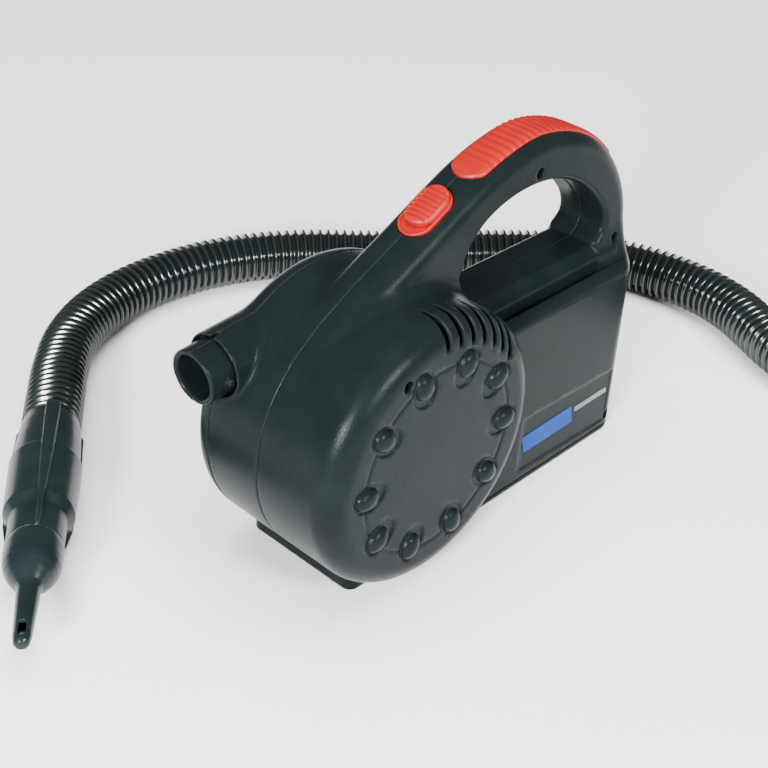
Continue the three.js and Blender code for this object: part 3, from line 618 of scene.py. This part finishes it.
def intake(f, x, y, z):
    """Air intake in the far face: an open ring in a round recess, with three thin bars across it."""
    rho = np.hypot(x, z - AXIS_Z)
    cup = np.maximum(rho - 24, between(y, 38.5, DRUM_HALF))
    recess = round_and(rho - 22, 40.5 - y, 1.5)
    recess = cut(recess, round_and(rho - 15.4, y - DRUM_HALF + 0.4, 0.8))
    f = np.maximum(cut(np.minimum(f, cup), recess), 12 - rho)
    for degrees in (0, 60, 120):
        a = math.radians(degrees)
        across = -x * math.sin(a) + (z - AXIS_Z) * math.cos(a)
        bar = np.hypot(across, y - 39.7) - 1.0
        f = np.minimum(f, np.maximum(bar, rho - 13))
    return f


def casing_piece(name, y_low, y_high, ratio):
    """One moulding of the casing, between two parting planes."""
    field = Field((-91, max(y_low, -57) - 1.6, 1.5), (204, min(y_high, 57.5) + 1.6, 218), GRID)
    x, y, z = field.x, field.y, field.z
    body = casing_body(x, y, z)
    cavity = np.maximum(body + WALL, 6.6 - z)
    floor_open = all_of(np.abs(y) - 28.8, between(x, 14, 192), z - 12)
    field.f = cut(body, np.minimum(cavity, floor_open))
    field.local((-91, -40), (15, 58), (95, 150), outlet_detail)
    field.local((-70, 70), (-57, -47), (12, 152), drum_face_detail)
    field.local((-5, 72), (-56, -29), (100, 165), vents)
    screw_wells(field, SCREWS_NEAR, -60, -9)
    screw_wells(field, SCREWS_FAR, 60, 46)
    field.local((10, 186), (-14, 14), (150, 218), handle_pockets)
    field.local((90, 195), (-33, -30), (3, 60), label_recess)
    field.local((-26, 26), (36, 56), (55, 110), intake)
    if y_low > -200:
        field.f = round_and(field.f, y_low - y, 0.25)
    if y_high < 200:
        field.f = round_and(field.f, y - y_high, 0.25)
    points, quads = field.surface()
    piece = mesh_piece(name + "_moulding", points, quads, CASING, "pump_body", [name])
    return thinned(piece, ratio)


def base_piece():
    """The foot: a cradle under the drum and a plate under the battery box."""
    field = Field((-41, -34, -1.5), (203, 48, 18), GRID)
    x, y, z = field.x, field.y, field.z
    cradle = round_and(-38.6 - x, between(y, -31.4, 45.6), 6)
    cradle = all_of(cradle, x - 8, z - 16)
    cradle = cut(cradle, all_of(between(x, -36, 5), between(y, -28.8, 43), 2.6 - z))
    plate = round_and(np.abs(y) - BOX_HALF, x - BOX_REAR + BOX_LEAN * z, BOX_CORNER)
    plate = all_of(plate, round_and(x - BOX_REAR, -z, BOX_FOOT), 6 - x, z - 3.7)
    whole = round_and(np.minimum(cradle, plate), -z, 0.8)
    whole = np.maximum(whole, DRUM_R + 0.35 - np.hypot(x, z - AXIS_Z))
    for sx, sy in SCREWS_BASE:
        whole = np.maximum(whole, 3.3 - np.hypot(x - sx, y - sy) + np.clip(z - 2, 0, 9))
    field.f = whole
    points, quads = field.surface()
    piece = mesh_piece("base_plate_moulding", points, quads, CASING, "pump_body", ["base_plate"])
    return thinned(piece, 0.5)


def grip_piece():
    """The soft grip, ribbed across behind its rounded front end."""
    field = Field((54, -13, 168), (181, 13, 219), GRID * 0.75)
    x, y, z = field.x, field.y, field.z
    depth = crest_distance(x, z)
    crown = round_and(depth, np.abs(y) - HANDLE_HALF, HANDLE_EDGE)
    arc = np.interp(x, CREST_LINE[:, 0], CREST_ARC)
    ribs = 0.65 * (0.5 - 0.5 * np.cos(2 * math.pi * arc / GRIP_RIB)) * np.clip((x - 66) / 8, 0, 1)
    plan = np.maximum(grip_plan(x, y, GRIP_HALF), x - GRIP_REAR)
    field.f = np.maximum(round_and(plan, crown - 1.0 + ribs, 0.8), -2.2 - depth)
    points, quads = field.surface()
    return mesh_piece("grip_insert_moulding", points, quads, ACCENT, "pump_body", ["grip_insert"])


def switch_place(points):
    c, s = SWITCH_TURN
    return placed(points, (SWITCH[0], 0, SWITCH[1]), (c, 0, s), (0, 1, 0), (-s, 0, c))


def bezel_piece():
    """The switch's surround: a plate with a raised lip and a slot for the slider's stem."""
    field = Field((-18, -11.5, -4.5), (18, 11.5, 1.5), GRID * 0.5)
    u, v, w = field.x, field.y, field.z
    edge = stadium(u, v, 33.4, 20)
    plate = round_and(edge, w + 0.4, 0.3)
    lip = cut(round_and(edge, w - 0.45, 0.4), edge + 1.5)
    whole = np.maximum(np.minimum(plate, lip), -3.2 - w)
    field.f = cut(whole, stadium(u, v, 17, 7))
    points, quads = field.surface()
    mesh_piece("switch_bezel_moulding", switch_place(points), quads, ACCENT, "pump_body",
               ["switch_bezel"])


def slider_piece():
    """The switch's thumb piece: a ribbed, crowned cap on a stem, at one end of its travel."""
    field = Field((-15, -10, -10), (15, 10, 6), GRID * 0.5)
    u, v, w = field.x, field.y, field.z
    crown = 4.3 - 0.012 * v * v - 0.002 * u * u
    groove = 0.9 * np.clip(np.cos(2 * math.pi * u / SLIDER_RIB) * 1.6 - 0.3, 0, 1)
    groove = groove * np.clip((7.2 - np.abs(v)) / 0.8, 0, 1)
    groove = groove * np.clip((11.2 - np.abs(u)) / 0.8, 0, 1)
    cap = round_and(stadium(u, v, 26.5, 17.5), w - crown, 1.3)
    cap = all_of(cap, w - crown + groove, -0.1 - w)
    stem = all_of(np.abs(u) - 3, np.abs(v) - 2.5, between(w, -9, 1))
    field.f = np.minimum(cap, stem)
    points, quads = field.surface()
    points = points + np.array([SWITCH_TRAVEL / 2, 0, 0])
    mesh_piece("switch_slider_moulding", switch_place(points), quads, ACCENT, "slider",
               ["switch_slider"])


def label_patch(name, corners, material):
    """A thin flat sticker lying in the label panel, given its corners in x and z."""
    outer = LABEL_DEPTH - BOX_HALF - 0.35
    ring = [(x, outer, z) for x, z in corners] + [(x, outer + 0.6, z) for x, z in corners]
    faces = np.array([(0, 1, 2, 3), (7, 6, 5, 4), (0, 4, 5, 1), (1, 5, 6, 2), (2, 6, 7, 3), (3, 7, 4, 0)])
    patch = mesh_piece(name, ring, faces, material, "pump_body")
    patch.data.shade_flat()


# ------------------------------------------------------------------ hose and nozzles
def nozzle_place(points):
    side = Vector((0, 0, 1)).cross(NOZZLE_AXIS)
    return placed(points, NOZZLE_BACK, NOZZLE_AXIS, side, (0, 0, 1))


def stepped_nozzle_piece():
    """The hose's own nozzle: a stepped hollow body with three raised ribs along it."""
    field = Field((8, -23.5, -23.5), (134, 23.5, 23.5), GRID * 0.75)
    s, y, z = field.x, field.y, field.z
    away = np.hypot(y, z)
    outside = [
        (12, 0), (12, 15.5), (13, 16.6), (22, 17.6), (34, 18.3), (51.6, 18.8), (52, 20.2), (94, 19.2),
        (99.5, 15.5), (119, 15.1), (119, 12.2), (131, 12), (131, 0), (131, -9), (12, -9),
    ]
    hollow = [(5, -14), (5, 14), (88, 14), (97, 10.5), (140, 9.5), (140, -14)]
    top = np.interp(s, [11, 14, 52, 94, 119], [19.2, 20.2, 21.8, 20.8, 16.4])
    half = np.interp(s, [11, 60, 119], [4.2, 3.3, 0.9])
    body = polygon(outside, s, away)
    for degrees in (8, 128, 248):
        a = math.radians(degrees)
        up = y * math.sin(a) + z * math.cos(a)
        over = y * math.cos(a) - z * math.sin(a)
        rib = round_and(np.abs(over) - half, up - top, 0.9)
        body = round_or(body, all_of(rib, 8 - up, between(s, 11.9, 118.5)), 0.7)
    field.f = cut(body, polygon(hollow, s, away))
    points, quads = field.surface()
    piece = mesh_piece("stepped_nozzle_moulding", nozzle_place(points), quads, NOZZLE, "pump_body",
                       ["stepped_nozzle"])
    return thinned(piece, 0.5)


def tip_piece():
    """The push-fit fine tip: a cap over the nozzle's end and a thin slotted spout."""
    field = Field((116, -17, -17), (194, 17, 17), GRID * 0.6)
    s, y, z = field.x, field.y, field.z
    away = np.hypot(y, z)
    outside = [
        (119.4, -9), (119.4, 15), (120, 15.5), (124, 15.7), (132, 15.4), (136, 14.9), (140, 13.6),
        (144, 11.5), (147.5, 8.9), (150, 6.9), (152.5, 6.2), (186, 4.8), (190, 4.1), (191.7, 2.6),
        (192, 0), (192, -9),
    ]
    hollow = [(110, -12), (110, 12.6), (132, 12.6), (144, 3.8), (150, 3), (186, 2.6), (186, -12)]
    body = cut(polygon(outside, s, away), polygon(hollow, s, away))
    slot = np.hypot(np.maximum(np.abs(s - 183.3) - 2.8, 0), y) - 1.9
    field.f = round_and(body, -np.maximum(slot, away - 9), 0.5)
    points, quads = field.surface()
    piece = mesh_piece("tip_adapter_moulding", nozzle_place(points), quads, NOZZLE, "tip",
                       ["tip_adapter"])
    return thinned(piece, 0.5)


def cuff_piece():
    """The cuff on the hose's far end: ribbed, bored for hose and outlet, with a bayonet slot."""
    low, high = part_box("hose_cuff")
    centre = (low + high) * 500
    field = Field((-2, -22, -22), (48, 22, 22), GRID * 0.75)
    s, y, z = field.x, field.y, field.z
    away = np.hypot(y, z)
    outside = [(0.4, -9), (0.4, 18.8), (1.6, 20), (28, 20), (29.5, 19), (44.5, 19), (45.6, 18), (45.6, -9)]
    grooves = all_of(np.abs(((s + 2) % 4.5) - 2.25) - 0.7, 19.3 - away, between(s, 5, 26))
    body = cut(polygon(outside, s, away), grooves)
    body = cut(body, np.maximum(away - 12, -5 - s))
    body = cut(body, np.maximum(away - 15.9, 21.6 - s))
    entry = np.hypot(np.maximum(40 - s, 0), z) - 2.2
    turn = np.hypot(s - 38, np.maximum(np.abs(z - 3.5) - 3.5, 0)) - 2.2
    field.f = cut(body, np.maximum(np.minimum(entry, turn), 13 - away))
    points, quads = field.surface()
    where = placed(points, (low.x * 1000 - 0.4, centre.y, centre.z), (1, 0, 0), (0, 1, 0), (0, 0, 1))
    piece = mesh_piece("hose_cuff_moulding", where, quads, NOZZLE, "pump_body",
                       ["hose_cuff"])
    return thinned(piece, 0.5)


def hose_line():
    """Centreline of the hose in mm, evenly stepped along its length."""
    straight = [tuple(NOZZLE_BACK + NOZZLE_AXIS * s) for s in (44, 11.5, 2)]
    line = smooth_curve(straight + HOSE_ROUTE, 40)
    arc = np.concatenate([[0], np.cumsum(np.linalg.norm(np.diff(line, axis=0), axis=1))])
    steps = int(round(arc[-1] / (HOSE_PITCH / 12)))
    even = np.linspace(0, arc[-1], steps + 1)
    return np.stack([np.interp(even, arc, line[:, i]) for i in range(3)], 1), even


def hose_radius(arc):
    """Radius along the hose: rounded corrugations, lower in the cuff and plain inside the nozzle."""
    wave = np.cos(2 * math.pi * arc / HOSE_PITCH)
    crest = np.where(arc > arc[-1] - 4 * HOSE_PITCH, HOSE_R - 1.6, HOSE_R - 0.1)
    radius = crest - HOSE_WAVE * (1 - np.sign(wave) * np.abs(wave) ** 0.8)
    radius[arc < 32.5] = HOSE_SPIGOT_R
    return radius


def rings_along(line, radius, sides):
    """A ring of points around each point of a line, with its own radius."""
    tangent = np.gradient(line, axis=0)
    tangent /= np.linalg.norm(tangent, axis=1)[:, None]
    right = np.cross(tangent, np.array([0, 0, 1.0]))
    right /= np.linalg.norm(right, axis=1)[:, None]
    normal = np.cross(right, tangent)
    turn = np.linspace(0, 2 * math.pi, sides, endpoint=False)
    return line[:, None, :] + radius[:, None, None] * (
        np.cos(turn)[None, :, None] * right[:, None, :] + np.sin(turn)[None, :, None] * normal[:, None, :])


def hose_piece():
    """The corrugated hose, open at both ends with a short inner lip."""
    line, arc = hose_line()
    sides = 44
    rings = rings_along(line, hose_radius(arc), sides)
    lips = rings[[0, -1]] - line[[0, -1]][:, None, :]
    inner = line[[0, -1]][:, None, :] + lips * 0.8
    points = np.concatenate([inner[:1], rings, inner[1:]]).reshape(-1, 3)
    i, j = np.meshgrid(np.arange(len(line) + 1), np.arange(sides), indexing="ij")
    k = (j + 1) % sides
    faces = np.stack([i * sides + j, (i + 1) * sides + j, (i + 1) * sides + k, i * sides + k], -1)
    piece = mesh_piece("hose_corrugated", points, faces.reshape(-1, 4), VINYL, "pump_body",
                       ["hose"])
    return piece


# ------------------------------------------------------------------ camera, light, floor
def aimed(obj, target):
    direction = Vector(target) - obj.location
    obj.rotation_euler = direction.to_track_quat("-Z", "Y").to_euler()


def make_camera():
    turn, rise = CAMERA_AZIMUTH, CAMERA_ELEVATION
    back = Vector((math.sin(turn) * math.cos(rise), -math.cos(turn) * math.cos(rise), math.sin(rise)))
    level = Vector((math.cos(turn), math.sin(turn), 0))
    above = back.cross(level)
    right = level * math.cos(CAMERA_ROLL) + above * math.sin(CAMERA_ROLL)
    up = above * math.cos(CAMERA_ROLL) - level * math.sin(CAMERA_ROLL)
    camera = bpy.data.objects.new("camera", bpy.data.cameras.new("camera"))
    camera.data.sensor_width = 36
    camera.data.lens = CAMERA_LENS
    camera.data.clip_end = 20
    rows = [(right[i], up[i], back[i], CAMERA_PLACE[i]) for i in range(3)]
    camera.matrix_world = Matrix((*rows, (0, 0, 0, 1)))
    bpy.context.scene.collection.objects.link(camera)
    bpy.context.scene.camera = camera


def softbox(name, place, target, size, power):
    light = bpy.data.lights.new(name, "AREA")
    light.shape = "RECTANGLE"
    light.size, light.size_y = size
    light.energy = power
    lamp = bpy.data.objects.new(name, light)
    lamp.location = place
    bpy.context.scene.collection.objects.link(lamp)
    aimed(lamp, target)
    return lamp


def make_studio():
    world = bpy.data.worlds.new("studio")
    world.use_nodes = True
    background = world.node_tree.nodes["Background"]
    background.inputs["Color"].default_value = (1, 0.98, 0.96, 1)
    background.inputs["Strength"].default_value = 0.24
    bpy.context.scene.world = world
    softbox("key_light", (0.0, -0.1, 2.6), (0.0, -0.1, 0), (2.4, 2.4), 150).visible_glossy = False
    softbox("front_light", (0.0, -1.7, 1.05), (0.0, 0, 0.1), (0.6, 0.3), 52)
    softbox("side_light", (-1.5, -0.55, 0.75), (0.0, 0, 0.1), (0.42, 0.30), 85)


def make_floor():
    mesh = bpy.data.meshes.new("floor")
    mesh.from_pydata([(-5, -5, 0), (5, -5, 0), (5, 5, 0), (-5, 5, 0)], [], [(0, 1, 2, 3)])
    floor = bpy.data.objects.new("floor", mesh)
    material = bpy.data.materials.new("pale_floor")
    material.use_nodes = True
    shader = material.node_tree.nodes["Principled BSDF"]
    shader.inputs["Base Color"].default_value = (0.9, 0.9, 0.91, 1)
    shader.inputs["Roughness"].default_value = 0.8
    mesh.materials.append(material)
    bpy.context.scene.collection.objects.link(floor)
    floor.location.z = -0.0002


make_camera()
nozzle = stepped_nozzle_piece()
tip = tip_piece()
cuff = cuff_piece()
hose_piece()
casing_piece("near_shell", -300, -SEAM_GAP, 0.5)
casing_piece("middle_shell", SEAM_GAP, SEAM_FAR - SEAM_GAP, 0.5)
casing_piece("far_cover", SEAM_FAR + SEAM_GAP, 300, 0.5)
base_piece()
grip_piece()
bezel_piece()
slider_piece()
label_patch("label_blue_patch", [(101, 34), (104.6, 21.8), (150.7, 22.4), (148, 35)], LABEL_BLUE)
label_patch("label_grey_bar", [(151.5, 32.5), (152.5, 29), (184, 29.5), (183, 33)], LABEL_GREY)
make_studio()
make_floor()
